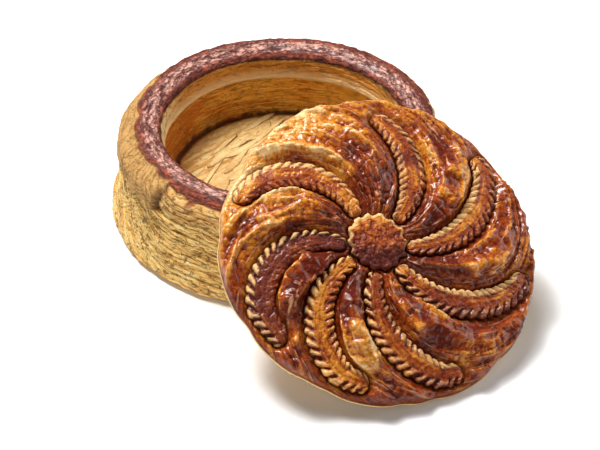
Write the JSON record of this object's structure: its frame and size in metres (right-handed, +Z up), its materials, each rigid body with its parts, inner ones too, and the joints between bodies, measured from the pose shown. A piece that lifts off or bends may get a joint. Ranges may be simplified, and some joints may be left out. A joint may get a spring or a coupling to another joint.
{
  "type": "vol-au-vent",
  "caption": "Large round puff pastry case with a layered side and an open hollow, its browned lid of fluted crescents leaning on the rim.",
  "frame": {"origin": "middle of the case's flat base", "axes": "+Z is up and the lid leans on the -Y side of the case, so +X is to the right as the lid's top faces the viewer"},
  "size_m": [0.2229, 0.3195, 0.0951],
  "materials": {
    "case_crust": "baked puff pastry, pale flaky layers under a browned rim",
    "lid_crust": "egg-washed crust, glossy amber to mahogany brown",
    "crescent_crust": "egg-washed pastry strip with pale cut teeth",
    "rosette_crust": "egg-washed pastry disc, dark and dull"
  },
  "bodies": {
    "root": {"case": "case_crust", "lid": "lid_crust", "crescent_1": "crescent_crust", "crescent_2": "crescent_crust", "crescent_3": "crescent_crust", "crescent_4": "crescent_crust", "crescent_5": "crescent_crust", "crescent_6": "crescent_crust", "crescent_7": "crescent_crust", "rosette": "rosette_crust"}
  },
  "joints": []
}
